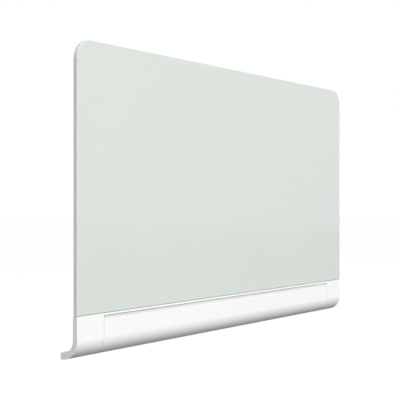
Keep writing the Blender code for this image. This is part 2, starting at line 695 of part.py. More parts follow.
def build_hinge(axis_empty, steel, acetal):
    """Hinge blocks in the end covers, pins, and bushes in the door's bead."""
    block_start = DOOR_HALF_LENGTH + HINGE_BLOCK_GAP
    block_end = block_start + HINGE_BLOCK_LENGTH
    bush_start = DOOR_HALF_LENGTH - BUSH_LENGTH
    pin_start = bush_start + HINGE_BLOCK_GAP
    for label, side in SIDES.items():
        ends = (side * block_start, side * block_end)
        hinge_block = section_bar("hinge_block_" + label, hinge_block_section(), *ends, acetal)
        bore_centre = along_hinge(side * (block_start + block_end) / 2)
        bore_length = HINGE_BLOCK_LENGTH + 4 * HINGE_BLOCK_GAP
        drill(hinge_block, [bore_centre], ALONG, bore_length, steel, PIN_RADIUS + GAP)
        pin_ends = (along_hinge(side * pin_start), along_hinge(side * (pin_start + PIN_LENGTH)))
        rod("hinge_pin_" + label, *pin_ends, PIN_RADIUS, SCREW_SIDES, steel, origin=pin_ends[0])
        bush_ends = (along_hinge(side * bush_start), along_hinge(side * DOOR_HALF_LENGTH))
        tube("hinge_bush_" + label, *bush_ends, BUSH_RADIUS, PIN_RADIUS + GAP, BUSH_SIDES, acetal,
             origin=HINGE_WORLD, parent=axis_empty)


def build_door(axis_empty, white, felt, steel):
    """The door, which turns about the hinge axis with everything fixed to it."""
    placing = {"origin": HINGE_WORLD, "parent": axis_empty}
    door = section_bar("tray_door", door_section(), -DOOR_HALF_LENGTH, DOOR_HALF_LENGTH, white, **placing)
    strike_depth = (FLANGE_DEPTH[0] + GAP, FLANGE_DEPTH[1] - GAP)
    strike_drop = (DOOR_TOP, FLANGE_DROP - GAP)
    for label, side in SIDES.items():
        bore_start = along_hinge(side * (DOOR_HALF_LENGTH - BUSH_LENGTH - GAP))
        bore_end = along_hinge(side * (DOOR_HALF_LENGTH + BUSH_LENGTH))
        cut(door, rod("door_bore_" + label, bore_start, bore_end, BUSH_RADIUS + GAP, BUSH_SIDES, steel))
        outer = side * (DOOR_HALF_LENGTH - GAP)
        inner = outer - side * END_PLATE_THICKNESS
        section_bar("door_end_plate_" + label, end_plate_section(), inner, outer, white, **placing)
        strike_x = (side * CATCH_X - STRIKE_HALF_WIDTH, side * CATCH_X + STRIKE_HALF_WIDTH)
        block("strike_plate_" + label, strike_x, strike_depth, strike_drop, steel, **placing)
    mat_half = DOOR_HALF_LENGTH - GAP - END_PLATE_THICKNESS - MAT_END_GAP
    section_bar("tray_mat", mat_section(), -mat_half, mat_half, felt, **placing)


def main():
    for obj in list(bpy.data.objects):
        bpy.data.objects.remove(obj, do_unlink=True)
    glass = make_material("glass_back_painted", (0.76, 0.80, 0.76), 0.08)
    frame = make_material("frame_grey_green", (0.78, 0.83, 0.77), 0.40)
    white = make_material("white_satin", (0.90, 0.90, 0.90), 0.30)
    steel = make_material("zinc_steel", (0.60, 0.61, 0.62), 0.35, 1.0)
    aluminium = make_material("mill_aluminium", (0.78, 0.79, 0.80), 0.40, 1.0)
    core = make_material("core_board", (0.62, 0.60, 0.56), 0.70)
    rubber = make_material("black_rubber", (0.04, 0.04, 0.04), 0.80)
    felt = make_material("grey_felt", (0.30, 0.31, 0.32), 0.95)
    magnet = make_material("magnet_case", (0.12, 0.12, 0.13), 0.50)
    acetal = make_material("acetal", (0.85, 0.85, 0.82), 0.40)

    axis_empty = bpy.data.objects.new("tray_hinge_axis", None)
    bpy.context.collection.objects.link(axis_empty)
    axis_empty.location = HINGE_WORLD

    core_board = build_board(glass, steel, core, frame)
    build_hanging(core_board, aluminium, steel)
    lip_rail, back_rail = build_rails(white, steel)
    build_tray_fittings(back_rail, steel, rubber, magnet)
    build_brackets(core_board, lip_rail, steel)
    build_end_covers(core_board, white, steel)
    build_hinge(axis_empty, steel, acetal)
    build_door(axis_empty, white, felt, steel)


main()
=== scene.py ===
"""Looks of a wall-hung glass marker board with a flip-down accessory tray.

Frame: metres, +X to the right as seen from the front, +Z up, the front faces -Y and the wall is y = 0.
Sections are drawn in the YZ plane with two numbers, as in the CAD source: depth, measured back from the
front plane, and drop, measured down from the seam between the glass and the tray.
"""

import math

import bmesh
import bpy
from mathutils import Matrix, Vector


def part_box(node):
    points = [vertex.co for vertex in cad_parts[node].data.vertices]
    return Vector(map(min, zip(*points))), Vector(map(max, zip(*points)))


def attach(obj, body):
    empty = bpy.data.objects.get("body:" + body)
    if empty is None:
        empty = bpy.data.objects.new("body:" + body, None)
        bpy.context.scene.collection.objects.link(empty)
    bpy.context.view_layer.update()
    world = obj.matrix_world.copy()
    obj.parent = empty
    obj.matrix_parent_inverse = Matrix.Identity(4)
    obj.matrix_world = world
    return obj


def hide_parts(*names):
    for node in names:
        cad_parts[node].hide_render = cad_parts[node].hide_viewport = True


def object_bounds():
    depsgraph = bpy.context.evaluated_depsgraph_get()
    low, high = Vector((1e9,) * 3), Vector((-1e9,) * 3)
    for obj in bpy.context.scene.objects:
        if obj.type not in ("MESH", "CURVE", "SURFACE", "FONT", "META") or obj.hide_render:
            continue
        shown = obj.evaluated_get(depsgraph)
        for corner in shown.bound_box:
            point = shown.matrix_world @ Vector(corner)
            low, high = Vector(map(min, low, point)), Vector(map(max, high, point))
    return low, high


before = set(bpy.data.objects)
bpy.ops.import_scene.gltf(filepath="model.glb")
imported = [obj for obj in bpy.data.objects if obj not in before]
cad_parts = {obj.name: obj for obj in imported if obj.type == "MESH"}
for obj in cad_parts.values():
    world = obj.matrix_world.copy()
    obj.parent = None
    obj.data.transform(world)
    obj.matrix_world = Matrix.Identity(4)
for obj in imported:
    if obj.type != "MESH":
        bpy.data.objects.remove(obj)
cad_low, cad_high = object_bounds()

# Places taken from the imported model
GLASS_LOW, GLASS_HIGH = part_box("glass_panel")
LIP_LOW, LIP_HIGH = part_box("lip_rail")
DOOR_LOW, DOOR_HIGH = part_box("tray_door")
COVER_LOW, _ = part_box("end_cover_right")
BACK_LOW, BACK_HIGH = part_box("back_rail")
FRONT_Y = GLASS_LOW.y
SEAM_Z = LIP_HIGH.z
TOP_Z = GLASS_HIGH.z
HALF_WIDTH = GLASS_HIGH.x
BOARD_DEPTH = cad_high.y - FRONT_Y
TRAY_HEIGHT = SEAM_Z - COVER_LOW.z
GLASS_THICKNESS = GLASS_HIGH.y - GLASS_LOW.y
GAP = 0.0003

# Angles on a section
FRONT_DEG = 180.0
BOTTOM_DEG = 270.0

# Sections and holes: the same numbers as in the CAD source
CORNER_RADIUS = 0.046
OUTER_RADIUS = 0.043
OUTER_CENTRE = (OUTER_RADIUS, TRAY_HEIGHT - OUTER_RADIUS)
FOOT_HEIGHT = 0.0155
LEG_THICKNESS = 0.0121
INNER_RADIUS = 0.032
INNER_CENTRE = (LEG_THICKNESS + INNER_RADIUS, 0.0518)
COVER_LENGTH = 0.091
COVER_WALL = 0.0024
DOOR_TOP = 0.0063
DOOR_WALL = 0.0024
FLARE_RADIUS = 0.018
FLARE_CENTRE = (-FLARE_RADIUS, 0.0140)
FLANGE_DROP = 0.0081
FLANGE_DEPTH = (0.006, 0.014)
HINGE_DEPTH = 0.033
BEAD_RADIUS = 0.00645
BUSH_RADIUS = 0.0040
BUSH_LENGTH = 0.012
LIP_DROP = 0.0050
LIP_WALL = 0.0024
LIP_BACK = 0.0437
LIP_FLANGE = 0.002
LIP_FLANGE_DROP = 0.016
WEB_FRONT = 0.044
WEB_BACK = 0.046
# Drops of the foot's sloping top at the web and at the wall, then two points between its nose and the web
FOOT_SLOPE = (0.070, 0.0745)
FOOT_SHELF = ((0.0412, 0.0868), (0.044, 0.0840))
BEAD_CLEARANCE = 0.00045
FOOT_NOSE_DEG = -58.0
FOOT_TOP_DEG = 10.0
SCREW_HOLE_RADIUS = 0.0018
WALL_HOLE_RADIUS = 0.0025
WALL_HOLE_X = (-0.460, -0.230, 0.230, 0.460)
WALL_HOLE_DROP = 0.030

# Fineness of the visual meshes, and the rounding of their edges
ARC_STEPS = 36
FLARE_STEPS = 10
FOOT_STEPS = 6
CORNER_STEPS = 32
ARRIS_STEPS = 5
EDGE_STEPS = 4
ROD_SIDES = 32
SHARP_DEG = 32.0
COVER_EDGE = 0.0004
LIP_EDGE = 0.0006
THIN_EDGE = 0.0004
GLASS_ARRIS = 0.0010
HOLE_REACH = 0.014

# Directions
ALONG = Vector((1, 0, 0))
BACKWARD = Vector((0, 1, 0))
DOWN = Vector((0, 0, -1))

# Floor: it glows almost white to the camera, and neither lights the object nor shows in it
FLOOR_Z = -1.60
FLOOR_HALF = 60.0
FLOOR_CELLS = 8
FLOOR_BASE = (0.12, 0.12, 0.12)
FLOOR_DARK = 0.115
FLOOR_PALE = 0.125
FLOOR_ROUGHNESS = 0.9
FLOOR_GLOW = 0.92
WHITE = (1, 1, 1, 1)

# Light from all around, by the direction's height: from -1 straight below to 1 straight above
SKY_LEVELS = (
    (-1.0, (0.16, 0.16, 0.16)),
    (-0.55, (0.25, 0.25, 0.25)),
    (-0.031, (0.47, 0.46, 0.53)),
    (-0.024, (0.98, 0.98, 0.98)),
    (0.30, (0.98, 0.98, 0.98)),
    (0.95, (0.16, 0.16, 0.16)),
)

# Factor on that light, by how far the direction points towards +X: from -1 to 1
SIDE_LEVELS = (
    (-1.0, (1.06, 1.06, 1.06)),
    (0.0, (1.0, 1.0, 1.0)),
    (0.68, (1.0, 1.0, 1.0)),
    (0.90, (0.58, 0.56, 0.70)),
    (1.0, (0.50, 0.48, 0.66)),
)

# One large lamp in front and above
KEY_PLACE = (0.0, -18.2, 15.4)
KEY_TARGET = (0, 0, -0.2)
KEY_SIZE = (12.0, 9.0)
KEY_POWER = 4710.0

# Level camera to the left of the board; its frame is shifted up and not tilted, so uprights stay upright
CAMERA_PLACE = (-2.2235, -1.4853, -0.2526)
CAMERA_FORWARD = (0.8203, 0.57204, 0.0)
CAMERA_LENS = 87.17
CAMERA_SENSOR = 36.0
CAMERA_SHIFT_Y = 0.00625
CAMERA_REACH = 200.0


# ---------------------------------------------------------------- sections


def at(depth, drop):
    """Point (y, z) of the YZ plane from a depth and a drop."""
    return (FRONT_Y + depth, SEAM_Z - drop)


def arc(centre, radius, start_deg, end_deg, steps):
    """Points (depth, drop) on an arc; FRONT_DEG is its front and BOTTOM_DEG its bottom."""
    points = []
    for i in range(steps + 1):
        angle = math.radians(start_deg + (end_deg - start_deg) * i / steps)
        points.append((centre[0] + radius * math.cos(angle), centre[1] - radius * math.sin(angle)))
    return points


def angle_at_drop(centre, radius, drop):
    """Angle at which a circle's lower front quarter, from FRONT_DEG to BOTTOM_DEG, reaches a drop."""
    return FRONT_DEG + math.degrees(math.asin((drop - centre[1]) / radius))


def angle_of(centre, point):
    """Angle of a (depth, drop) point about a centre, between 0 and 360 degrees."""
    return math.degrees(math.atan2(centre[1] - point[1], point[0] - centre[0])) % 360


def hinge_point():
    """Centre of the bead along the door's bottom edge, which touches the outer arc from inside."""
    reach = OUTER_RADIUS - BEAD_RADIUS
    return (HINGE_DEPTH, OUTER_CENTRE[1] + math.sqrt(reach ** 2 - (OUTER_RADIUS - HINGE_DEPTH) ** 2))


HINGE = hinge_point()


def circle_crossing(radius, bead):
    """Angle about the hinge at which the bead's circle meets a circle about OUTER_CENTRE."""
    across = OUTER_CENTRE[0] - HINGE[0]
    down = HINGE[1] - OUTER_CENTRE[1]
    distance = math.hypot(across, down)
    turn = math.acos((distance ** 2 + bead ** 2 - radius ** 2) / (2 * distance * bead))
    return math.degrees(math.atan2(down, across) + turn)


def board_outline(inset, bottom_z):
    """(x, z) outline with two rounded top corners, inset from the glass edge."""
    half = HALF_WIDTH - inset
    radius = CORNER_RADIUS - inset
    centre_x = HALF_WIDTH - CORNER_RADIUS
    centre_z = TOP_Z - CORNER_RADIUS
    points = [(-half, bottom_z), (half, bottom_z)]
    for middle, start in ((centre_x, 0.0), (-centre_x, 90.0)):
        for i in range(CORNER_STEPS + 1):
            angle = math.radians(start + 90.0 * i / CORNER_STEPS)
            points.append((middle + radius * math.cos(angle), centre_z + radius * math.sin(angle)))
    return points


def j_section(inset):
    """J-shaped section of the fixed ends, inset all round."""
    outer = OUTER_RADIUS - inset
    inner = INNER_RADIUS + inset
    back = BOARD_DEPTH - inset
    points = [(inset, inset)]
    points += arc(OUTER_CENTRE, outer, FRONT_DEG, BOTTOM_DEG, ARC_STEPS)
    points.append((back, TRAY_HEIGHT - inset))
    foot_top = TRAY_HEIGHT - FOOT_HEIGHT + inset
    points.append((back, foot_top))
    foot_end = angle_at_drop(INNER_CENTRE, inner, foot_top)
    points += arc(INNER_CENTRE, inner, foot_end, FRONT_DEG, ARC_STEPS)
    points.append((LEG_THICKNESS - inset, inset))
    return points


def flare_angle(radius, drop):
    """Angle about the flare's centre at which a circle reaches a drop above it."""
    return math.degrees(math.asin((FLARE_CENTRE[1] - drop) / radius))


def door_section():
    """Door skin that flares out at the top as a pull, a flange behind it and the hinge bead below."""
    flange_bottom = FLANGE_DROP + DOOR_WALL
    flare_back = FLARE_RADIUS + DOOR_WALL
    inner = OUTER_RADIUS - DOOR_WALL
    crossing = circle_crossing(inner, BEAD_RADIUS)
    crossing_point = arc(HINGE, BEAD_RADIUS, crossing, crossing, 1)[0]
    tangent = angle_of(OUTER_CENTRE, HINGE)
    points = [
        (FLANGE_DEPTH[0], FLANGE_DROP),
        (FLANGE_DEPTH[1], FLANGE_DROP),
        (FLANGE_DEPTH[1], flange_bottom),
    ]
    points += arc(FLARE_CENTRE, flare_back, flare_angle(flare_back, flange_bottom), 0.0, FLARE_STEPS)
    points += arc(OUTER_CENTRE, inner, FRONT_DEG, angle_of(OUTER_CENTRE, crossing_point), ARC_STEPS)
    points += arc(HINGE, BEAD_RADIUS, crossing, tangent - 360.0, ARC_STEPS)[1:]
    points += arc(OUTER_CENTRE, OUTER_RADIUS, tangent, FRONT_DEG, ARC_STEPS)[1:]
    points += arc(FLARE_CENTRE, FLARE_RADIUS, 0.0, flare_angle(FLARE_RADIUS, DOOR_TOP), FLARE_STEPS)
    points.append((FLANGE_DEPTH[0], DOOR_TOP))
    return points


def lip_section():
    """Front lip, shelf behind it and a flange that turns down in front of the back rail."""
    return [
        (0.0, 0.0),
        (LIP_BACK, 0.0),
        (LIP_BACK, LIP_FLANGE_DROP),
        (LIP_BACK - LIP_FLANGE, LIP_FLANGE_DROP),
        (LIP_BACK - LIP_FLANGE, LIP_WALL),
        (LIP_WALL, LIP_WALL),
        (LIP_WALL, LIP_DROP),
        (0.0, LIP_DROP),
    ]


def back_section():
    """Upright web and, below it, a foot that reaches the wall and wraps behind the hinge bead."""
    reach = BEAD_RADIUS + BEAD_CLEARANCE
    nose = arc(HINGE, reach, FOOT_NOSE_DEG, FOOT_TOP_DEG, ARC_STEPS)
    under = angle_of(OUTER_CENTRE, nose[0])
    points = [(WEB_BACK, 0.0), (WEB_BACK, FOOT_SLOPE[0]), (BOARD_DEPTH, FOOT_SLOPE[1])]
    points.append((BOARD_DEPTH, TRAY_HEIGHT))
    points += arc(OUTER_CENTRE, OUTER_RADIUS, BOTTOM_DEG, under, FOOT_STEPS)
    points += nose
    points += [*FOOT_SHELF, (WEB_FRONT, 0.0)]
    return points


# ---------------------------------------------------------------- meshes


def extruded(corners, offset):
    """Closed bmesh from a flat polygon's 3-D corners, extruded by an offset vector."""
    bm = bmesh.new()
    face = bm.faces.new([bm.verts.new(corner) for corner in corners])
    result = bmesh.ops.extrude_face_region(bm, geom=[face])
    moved = [item for item in result["geom"] if isinstance(item, bmesh.types.BMVert)]
    bmesh.ops.translate(bm, verts=moved, vec=offset)
    bmesh.ops.recalc_face_normals(bm, faces=bm.faces)
    return bm


def bar_mesh(section, x0, x1):
    """Closed bmesh of a section of (depth, drop) points, running along X."""
    return extruded([(x0, *at(*point)) for point in section], (x1 - x0, 0, 0))


def box_mesh(low, high):
    """Closed bmesh of a box between two corners."""
    outline = ((low.y, low.z), (high.y, low.z), (high.y, high.z), (low.y, high.z))
    corners = [(low.x, y, z) for y, z in outline]
    return extruded(corners, (high.x - low.x, 0, 0))


def rod_mesh(centre, direction, radius, length):
    """Closed bmesh of a round rod centred on a point."""
    side = direction.orthogonal().normalized()
    up = direction.cross(side)
    start = centre - direction * (length / 2)
    ring = []
    for i in range(ROD_SIDES):
        angle = 2 * math.pi * i / ROD_SIDES
        ring.append(start + radius * (math.cos(angle) * side + math.sin(angle) * up))
    return extruded(ring, direction * length)


def middle(box):
    """Centre of a (low, high) box."""
    low, high = box
    return (low + high) / 2


def new_object(name, bm):
    """Object with a bmesh as its mesh, in the scene; the bmesh is freed."""
    mesh = bpy.data.meshes.new(name)
    bm.to_mesh(mesh)
    bm.free()
    obj = bpy.data.objects.new(name, mesh)
    bpy.context.scene.collection.objects.link(obj)
    return obj


def bake_modifiers(obj):
    """Bake the modifiers into the mesh, so that the piece is its final mesh."""
    bpy.context.view_layer.update()
    evaluated = obj.evaluated_get(bpy.context.evaluated_depsgraph_get())
    mesh = bpy.data.meshes.new_from_object(evaluated)
    old = obj.data
    obj.modifiers.clear()
    obj.data = mesh
    bpy.data.meshes.remove(old)
    mesh.name = obj.name


def make_piece(name, bm, cutters, body, slot, stands_for, edge):
    """Final piece from a bmesh: holes cut, sharp edges rounded, normals kept flat on the flat faces."""
    obj = new_object(name, bm)
    cutting = [new_object(f"{name}_cut_{i}", cutter) for i, cutter in enumerate(cutters)]
    for cutter in cutting:
        modifier = obj.modifiers.new("cut", "BOOLEAN")
        modifier.operation = "DIFFERENCE"
        modifier.solver = "EXACT"
        modifier.object = cutter
    rounding = obj.modifiers.new("round", "BEVEL")
    rounding.width = edge
    rounding.segments = EDGE_STEPS
    rounding.limit_method = "ANGLE"
    rounding.angle_limit = math.radians(SHARP_DEG)
    bake_modifiers(obj)
    for cutter in cutting:
        mesh = cutter.data
        bpy.data.objects.remove(cutter)
        bpy.data.meshes.remove(mesh)
    shade(obj)
    obj.data.materials.clear()
    obj.data.materials.append(MATERIALS[slot])
    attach(obj, body)
    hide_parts(*stands_for)


def shade(obj):
    """Smooth shading with flat faces kept flat by face-weighted normals."""
    obj.data.shade_smooth()
    obj.data.set_sharp_from_angle(angle=math.radians(SHARP_DEG))
    weighting = obj.modifiers.new("weighted", "WEIGHTED_NORMAL")
    weighting.mode = "FACE_AREA"
    weighting.keep_sharp = True
    bake_modifiers(obj)


# ---------------------------------------------------------------- materials


def fill_ramp(ramp, stops):
    """Give a colour ramp its stops: pairs of a place from 0 to 1 and a colour or a grey."""
    elements = ramp.elements
    while len(elements) < len(stops):
        elements.new(0.5)
    for element, (place, colour) in zip(elements, stops):
        channels = colour if isinstance(colour, tuple) else (colour, colour, colour)
        element.position = place
        element.color = (*channels, 1.0)


class Nodes:
    """Short ways to add nodes to one material.

    Patterns follow object coordinates, so they ride with a part.
    """

    def __init__(self, name, colour, roughness, metallic=0.0, specular=0.5):
        self.material = bpy.data.materials.new(name)
        self.material.use_nodes = True
        self.material.diffuse_color = (*colour, 1.0)
        tree = self.material.node_tree
        self.nodes = tree.nodes
        self.links = tree.links
        self.shader = self.nodes["Principled BSDF"]
        self.shader.inputs["Base Color"].default_value = (*colour, 1.0)
        self.shader.inputs["Roughness"].default_value = roughness
        self.shader.inputs["Metallic"].default_value = metallic
        self.shader.inputs["Specular IOR Level"].default_value = specular
        self.place = self.nodes.new("ShaderNodeTexCoord").outputs["Object"]
        self.normal = None

    def scaled(self, stretch):
        """Object coordinates stretched along the axes."""
        mapping = self.nodes.new("ShaderNodeMapping")
        mapping.inputs["Scale"].default_value = stretch
        self.links.new(self.place, mapping.inputs["Vector"])
        return mapping.outputs["Vector"]

    def noise(self, scale, detail=2.0, rough=0.5, stretch=(1, 1, 1), distortion=0.0):
        """Noise from 0 to 1; a larger scale makes it finer."""
        node = self.nodes.new("ShaderNodeTexNoise")
        node.inputs["Scale"].default_value = scale
        node.inputs["Detail"].default_value = detail
        node.inputs["Roughness"].default_value = rough
        node.inputs["Distortion"].default_value = distortion
        self.links.new(self.scaled(stretch), node.inputs["Vector"])
        return node.outputs["Fac"]

    def cell_greys(self, scale):
        """Cells that each have their own grey."""
        node = self.nodes.new("ShaderNodeTexVoronoi")
        node.inputs["Scale"].default_value = scale
        self.links.new(self.place, node.inputs["Vector"])
        grey = self.nodes.new("ShaderNodeRGBToBW")
        self.links.new(node.outputs["Color"], grey.inputs["Color"])
        return grey.outputs["Val"]

    def ramp(self, source, stops):
        """Colours or greys at places from 0 to 1 along a source."""
        node = self.nodes.new("ShaderNodeValToRGB")
        fill_ramp(node.color_ramp, stops)
        self.links.new(source, node.inputs["Fac"])
        return node.outputs["Color"]

    def mixed(self, factor, first, second):
        """Blend of two colours by a factor."""
        node = self.nodes.new("ShaderNodeMix")
        node.data_type = "RGBA"
        self.links.new(factor, node.inputs["Factor"])
        self.links.new(first, node.inputs["A"])
        self.links.new(second, node.inputs["B"])
        return node.outputs["Result"]

    def colour(self, source):
        """Drive the base colour."""
        self.links.new(source, self.shader.inputs["Base Color"])

    def roughness(self, source):
        """Drive the roughness."""
        self.links.new(source, self.shader.inputs["Roughness"])

    def bump(self, source, height, strength=1.0):
        """Add relief of a height in metres; further calls stack on the earlier ones."""
        node = self.nodes.new("ShaderNodeBump")
        node.inputs["Strength"].default_value = strength
        node.inputs["Distance"].default_value = height
        self.links.new(source, node.inputs["Height"])
        if self.normal is not None:
            self.links.new(self.normal, node.inputs["Normal"])
        self.normal = node.outputs["Normal"]
        self.links.new(self.normal, self.shader.inputs["Normal"])


def near(colour, factor):
    """The same colour, a little lighter or darker."""
    return tuple(min(1.0, channel * factor) for channel in colour)


def painted_glass():
    """Clear glass over pale grey-green paint: faint cloud in the paint, faint wipe marks on the glass."""
    base = (0.647, 0.697, 0.636)
    made = Nodes("painted_glass", base, roughness=0.06)
    cloud = made.noise(scale=2.4, detail=3.0)
    made.colour(made.ramp(cloud, [(0.30, near(base, 0.990)), (0.70, near(base, 1.008))]))
    wipes = made.noise(scale=7.0, detail=5.0, rough=0.55, stretch=(0.35, 1.0, 1.6), distortion=0.7)
    made.roughness(made.ramp(wipes, [(0.35, 0.045), (0.75, 0.085)]))
    return made.material


def ground_glass_edge():
    """Finely ground edge of the glass, pale green, with the grinder's lines along it."""
    base = (0.80, 0.87, 0.81)
    made = Nodes("ground_glass_edge", base, roughness=0.35)
    lines = made.noise(scale=900.0, detail=3.0, rough=0.6, stretch=(1.0, 6.0, 1.0))
    made.colour(made.ramp(lines, [(0.25, near(base, 0.95)), (0.75, near(base, 1.03))]))
    made.roughness(made.ramp(lines, [(0.3, 0.28), (0.7, 0.45)]))
    made.bump(lines, height=0.00002, strength=0.4)
    return made.material


def satin_plastic():
    """White moulded plastic with a very fine spark-eroded texture and slight handling sheen."""
    base = (0.885, 0.885, 0.868)
    made = Nodes("satin_white_plastic", base, roughness=0.36)
    tone = made.noise(scale=3.0, detail=3.0)
    made.colour(made.ramp(tone, [(0.3, near(base, 0.992)), (0.7, near(base, 1.006))]))
    worn = made.noise(scale=26.0, detail=4.0, rough=0.55, stretch=(0.5, 1.0, 1.0))
    made.roughness(made.ramp(worn, [(0.30, 0.32), (0.72, 0.42)]))
    made.bump(made.noise(scale=2600.0, detail=2.0, rough=0.6), height=0.00002, strength=0.35)
    return made.material


def grey_green_frame():
    """Satin powder coat on the frame behind the glass."""
    base = (0.780, 0.830, 0.770)
    made = Nodes("grey_green_frame", base, roughness=0.42)
    grain = made.noise(scale=1500.0, detail=3.0, rough=0.6)
    cloud = made.noise(scale=9.0, detail=3.0)
    made.colour(made.ramp(cloud, [(0.3, near(base, 0.975)), (0.7, near(base, 1.02))]))
    made.roughness(made.ramp(grain, [(0.3, 0.36), (0.7, 0.50)]))
    made.bump(grain, height=0.00004, strength=0.4)
    return made.material


def mill_aluminium():
    """Extruded aluminium with die lines along X."""
    base = (0.78, 0.79, 0.80)
    made = Nodes("mill_aluminium", base, roughness=0.36, metallic=1.0)
    lines = made.noise(scale=700.0, detail=4.0, rough=0.65, stretch=(0.01, 1.0, 1.0))
    cloud = made.noise(scale=14.0, detail=3.0)
    lines_tone = made.ramp(lines, [(0.25, near(base, 0.86)), (0.75, near(base, 1.06))])
    cloud_tone = made.ramp(cloud, [(0.3, near(base, 0.95)), (0.7, base)])
    made.colour(made.mixed(cloud, lines_tone, cloud_tone))
    made.roughness(made.ramp(lines, [(0.25, 0.28), (0.75, 0.46)]))
    made.bump(lines, height=0.00003, strength=0.5)
    return made.material


def zinc_steel():
    """Zinc plate: soft spangle, darker in patches."""
    base = (0.60, 0.61, 0.63)
    made = Nodes("zinc_steel", base, roughness=0.38, metallic=1.0)
    spangle = made.cell_greys(scale=260.0)
    made.colour(made.ramp(spangle, [(0.2, near(base, 0.90)), (0.8, near(base, 1.10))]))
    patches = made.noise(scale=60.0, detail=4.0, rough=0.6)
    made.roughness(made.ramp(patches, [(0.3, 0.30), (0.7, 0.50)]))
    made.bump(patches, height=0.00003, strength=0.3)
    return made.material


def laminate_core():
    """Pale backing laminate over fibreboard: speckled, with a faint linen press and scuffs."""
    base = (0.62, 0.60, 0.56)
    made = Nodes("laminate_core", base, roughness=0.60)
    fleck = made.noise(scale=420.0, detail=4.0, rough=0.7)
    cloud = made.noise(scale=5.0, detail=4.0)
    flecks = made.ramp(fleck, [(0.30, near(base, 0.86)), (0.50, base), (0.72, near(base, 1.10))])
    clouds = made.ramp(cloud, [(0.3, near(base, 0.94)), (0.7, near(base, 1.03))])
    half = made.ramp(cloud, [(0.0, 0.35), (1.0, 0.65)])
    made.colour(made.mixed(half, flecks, clouds))
    scuffs = made.noise(scale=30.0, detail=4.0)
    made.roughness(made.ramp(scuffs, [(0.3, 0.50), (0.7, 0.68)]))
    made.bump(made.noise(scale=1100.0, detail=2.0, rough=0.5), height=0.00006, strength=0.35)
    return made.material


def black_rubber():
    """Matt rubber with a faint grey bloom."""
    base = (0.040, 0.040, 0.042)
    made = Nodes("black_rubber", base, roughness=0.75)
    bloom = made.noise(scale=120.0, detail=4.0, rough=0.6)
    made.colour(made.ramp(bloom, [(0.3, near(base, 0.8)), (0.75, near(base, 1.7))]))
    made.roughness(made.ramp(bloom, [(0.3, 0.68), (0.7, 0.86)]))
    made.bump(made.noise(scale=1800.0, detail=2.0), height=0.00006, strength=0.5)
    return made.material


def grey_felt():
    """Pressed felt: tangled fibres with their own random tone, plus a painted highlight that makes the
    colour lighter where the fibre relief stands up.
    """
    base = (0.30, 0.31, 0.32)
    made = Nodes("grey_felt", base, roughness=0.95, specular=0.2)
    made.shader.inputs["Sheen Weight"].default_value = 0.35
    made.shader.inputs["Sheen Roughness"].default_value = 0.6
    fibres = made.noise(scale=1300.0, detail=5.0, rough=0.7, stretch=(0.6, 1.0, 1.0), distortion=1.6)
    clumps = made.noise(scale=160.0, detail=3.0, rough=0.6)
    # Painted highlight: the fibre noise that raises the relief also lightens the colour where it is high,
    # on top of the fibres' random tone
    fine = made.ramp(fibres, [(0.25, near(base, 0.62)), (0.75, near(base, 1.38))])
    broad = made.ramp(clumps, [(0.3, near(base, 0.86)), (0.7, near(base, 1.14))])
    made.colour(made.mixed(clumps, fine, broad))
    made.roughness(made.ramp(clumps, [(0.3, 0.90), (0.7, 1.0)]))
    made.bump(fibres, height=0.0004, strength=0.6)
    return made.material


def magnet_case():
    """Dark moulded plastic with a fine grain."""
    base = (0.120, 0.120, 0.130)
    made = Nodes("magnet_case", base, roughness=0.45)
    grain = made.noise(scale=1600.0, detail=3.0, rough=0.6)
    cloud = made.noise(scale=40.0, detail=3.0)
    made.colour(made.ramp(cloud, [(0.3, near(base, 0.9)), (0.7, near(base, 1.12))]))
    made.roughness(made.ramp(grain, [(0.3, 0.38), (0.7, 0.55)]))
    made.bump(grain, height=0.00004, strength=0.5)
    return made.material


def acetal():
    """Natural acetal: waxy off-white with faint flow marks."""
    base = (0.85, 0.85, 0.82)
    made = Nodes("acetal", base, roughness=0.40)
    flow = made.noise(scale=55.0, detail=3.0, rough=0.5, distortion=1.2)
    made.colour(made.ramp(flow, [(0.3, near(base, 0.96)), (0.7, near(base, 1.02))]))
    made.roughness(made.ramp(flow, [(0.3, 0.34), (0.7, 0.46)]))
    made.bump(made.noise(scale=900.0, detail=2.0), height=0.00002, strength=0.3)
    return made.material


MATERIALS = {
    "glass_back_painted": painted_glass(),
    "frame_grey_green": grey_green_frame(),
    "white_satin": satin_plastic(),
    "zinc_steel": zinc_steel(),
    "mill_aluminium": mill_aluminium(),
    "core_board": laminate_core(),
    "black_rubber": black_rubber(),
    "grey_felt": grey_felt(),
    "magnet_case": magnet_case(),
    "acetal": acetal(),
}
GROUND_EDGE = ground_glass_edge()

# Every CAD piece gets the finished look of its material, whose name may end in a number such as .001
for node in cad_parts.values():
    for material_slot in node.material_slots:
        material_slot.material = MATERIALS[material_slot.material.name.split(".")[0]]


# ---------------------------------------------------------------- pieces


def build_glass():
    """Pane with ground edges: the painted face and back, and a rounded arris and side between them."""
    bottom = GLASS_LOW.z
    arris = [(GLASS_ARRIS, 0.0)]
    for i in range(1, ARRIS_STEPS):
        angle = math.radians(90.0 * i / ARRIS_STEPS)
        arris.append((GLASS_ARRIS * (1 - math.sin(angle)), GLASS_ARRIS * (1 - math.cos(angle))))
    arris.append((0.0, GLASS_ARRIS))
    profile = arris + [(inset, GLASS_THICKNESS - depth) for inset, depth in reversed(arris)]
    bm = bmesh.new()
    rings = []
    for inset, depth in profile:
        outline = board_outline(inset, bottom + inset)
        rings.append([bm.verts.new((x, FRONT_Y + depth, z)) for x, z in outline])
    for first, second in zip(rings, rings[1:]):
        for i in range(len(first)):
            j = (i + 1) % len(first)
            bm.faces.new((first[i], first[j], second[j], second[i])).material_index = 1
    bm.faces.new(rings[0])
    bm.faces.new(rings[-1])
    bmesh.ops.recalc_face_normals(bm, faces=bm.faces)
    pane = new_object("glass_pane", bm)
    pane.data.materials.append(MATERIALS["glass_back_painted"])
    pane.data.materials.append(GROUND_EDGE)
    shade(pane)
    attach(pane, "board")
    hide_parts("glass_panel")


